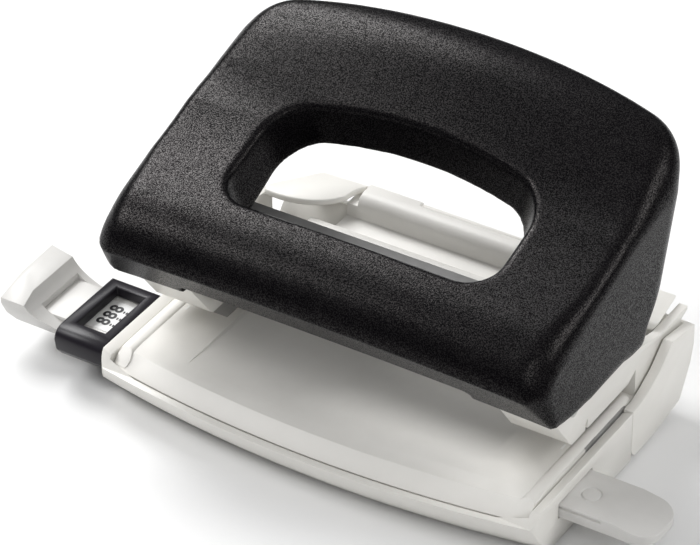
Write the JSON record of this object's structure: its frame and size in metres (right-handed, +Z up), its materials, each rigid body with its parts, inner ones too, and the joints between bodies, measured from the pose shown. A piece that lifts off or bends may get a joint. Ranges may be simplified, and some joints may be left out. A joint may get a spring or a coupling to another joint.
{
  "type": "hole punch",
  "caption": "Compact desk hole punch: sprung black handle with a finger opening, pale tub and paper table, sliding paper guide with format window, hinged chip flap.",
  "frame": {"origin": "on the desk, midway between the two punch holes, on the line of the hole centres", "axes": "+X to the right along the hole line, +Y from the paper side to the back, +Z up"},
  "size_m": [0.1426, 0.0692, 0.0676],
  "materials": {
    "tub_plastic": "fine satin moulded polystyrene",
    "table_plastic": "satin moulded polystyrene",
    "handle_plastic": "fine spark-eroded grain",
    "housing_plastic": "satin",
    "bar_plastic": "satin",
    "label_film": "printed film",
    "bush_plastic": "natural nylon",
    "foot_rubber": "matt",
    "plain_steel": "zinc plated",
    "bright_steel": "ground and polished",
    "dark_steel": "black oxide spring steel"
  },
  "bodies": {
    "base": {"base_tub": "tub_plastic", "base_pads": "foot_rubber", "flap_hinge_pins": "bright_steel", "paper_table": "table_plastic", "chassis_plate": "plain_steel", "table_screws": "plain_steel", "die_plates": "plain_steel", "left_head": "tub_plastic", "right_head": "tub_plastic", "left_wing": "tub_plastic", "right_wing": "tub_plastic", "cross_beam": "table_plastic", "rear_cover": "table_plastic", "left_pin_guide": "plain_steel", "right_pin_guide": "plain_steel", "left_return_spring": "bright_steel", "right_return_spring": "bright_steel", "pivot_pins": "bright_steel", "pivot_clips": "dark_steel", "format_housing": "housing_plastic", "detent_spring": "bright_steel"},
    "handle": {"handle_cover": "handle_plastic", "lever_frame": "plain_steel", "lever_bushes": "bush_plastic", "handle_screws": "plain_steel"},
    "left_pin": {"left_punch_pin": "bright_steel", "left_pin_collar": "dark_steel"},
    "right_pin": {"right_punch_pin": "bright_steel", "right_pin_collar": "dark_steel"},
    "guide": {"guide_bar": "bar_plastic", "guide_stop": "bar_plastic", "format_strip": "label_film"},
    "flap": {"chip_flap": "tub_plastic", "rear_feet": "foot_rubber", "latch_tab": "tub_plastic"}
  },
  "joints": [
    {"name": "handle_press", "type": "hinge", "parent": "base", "child": "handle", "pos_m": [0, -0.014, 0.024], "axis": [-1, 0, 0], "range_deg": [0, 25], "stiffness_Nm_per_rad": 0.6, "springref_deg": -20.05},
    {"name": "left_pin_slide", "type": "slide", "parent": "base", "child": "left_pin", "axis": [0, 0, -1], "range_m": [0, 0.0061], "deforming": ["left_return_spring"]},
    {"name": "right_pin_slide", "type": "slide", "parent": "base", "child": "right_pin", "axis": [0, 0, -1], "range_m": [0, 0.0061], "deforming": ["right_return_spring"]},
    {"name": "guide_slide", "type": "slide", "parent": "base", "child": "guide", "axis": [-1, 0, 0], "range_m": [0, 0.08]},
    {"name": "flap_open", "type": "hinge", "parent": "base", "child": "flap", "pos_m": [0, 0.007, 0.00305], "axis": [-1, 0, 0], "range_deg": [0, 70]}
  ],
  "couplings": [
    {"joint": "left_pin_slide", "follows": "handle_press", "m_per_rad": 0.01375},
    {"joint": "right_pin_slide", "follows": "handle_press", "m_per_rad": 0.01375}
  ]
}
